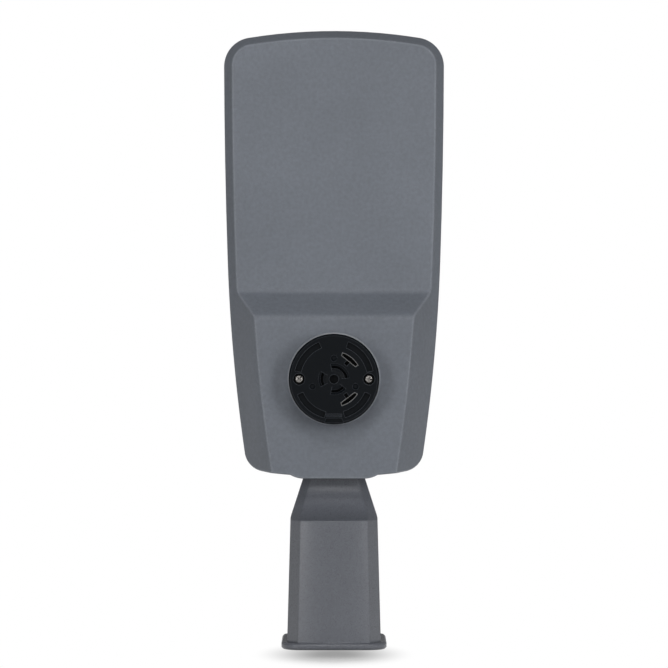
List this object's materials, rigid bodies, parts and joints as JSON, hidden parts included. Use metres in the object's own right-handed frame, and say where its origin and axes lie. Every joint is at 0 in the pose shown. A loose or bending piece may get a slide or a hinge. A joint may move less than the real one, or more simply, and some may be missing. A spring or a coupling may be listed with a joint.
{
  "type": "led street light head",
  "caption": "Slim cast street light head with a raised gear bay, twist-lock control socket and a tilting pole spigot.",
  "frame": {"origin": "centre of the pole bore's mouth, on the spigot flange's lower face", "axes": "+Z along the pole axis from the spigot towards the head, +Y towards the lit side, -Y towards the back with the control socket, +X to the right seen from the back"},
  "size_m": [0.1646, 0.0986, 0.458],
  "materials": {
    "cast_grey": "die-cast, fine-textured grey powder coat",
    "stainless": "plain stainless steel",
    "plated_screw": "bright zinc plated steel",
    "contact_metal": "tin plated brass sheet",
    "black_moulding": "black moulded plastic, satin",
    "seal_rubber": "moulded silicone rubber",
    "clear_glass": "flat toughened glass",
    "clear_lens": "clear moulded lens plastic",
    "white_board": "white solder mask on an aluminium board",
    "phosphor": "yellow phosphor, unlit",
    "driver_case": "plain drawn aluminium case",
    "white_moulding": "white moulded plastic"
  },
  "bodies": {
    "spigot": {"pole_spigot": "cast_grey", "pole_set_screws": "stainless", "tilt_bolts": "stainless", "tilt_washers": "stainless"},
    "head": {"housing": "cast_grey", "gear_cover": "cast_grey", "gear_cover_gasket": "seal_rubber", "gear_cover_screws": "stainless", "window_frame": "cast_grey", "window_frame_screws": "stainless", "window_glass": "clear_glass", "glass_gasket": "seal_rubber", "led_board_left": "white_board", "led_board_right": "white_board", "led_emitters_left": "phosphor", "led_emitters_right": "phosphor", "lens_plate_left": "clear_lens", "lens_plate_right": "clear_lens", "lens_plate_screws": "stainless", "socket_body": "black_moulding", "socket_rear": "black_moulding", "socket_gasket": "seal_rubber", "socket_screws": "plated_screw", "socket_contacts": "contact_metal", "led_driver": "driver_case", "driver_screws": "stainless", "surge_arrester": "white_moulding", "terminal_block": "white_moulding", "terminal_screws": "plated_screw", "gear_block_screws": "stainless", "cable_grommet": "seal_rubber", "vent_plug": "black_moulding", "earth_screw": "stainless"}
  },
  "joints": [
    {"name": "head_tilt", "type": "hinge", "parent": "spigot", "child": "head", "pos_m": [0, 0, 0.1435], "axis": [-1, 0, 0], "range_deg": [-15, 90]}
  ]
}
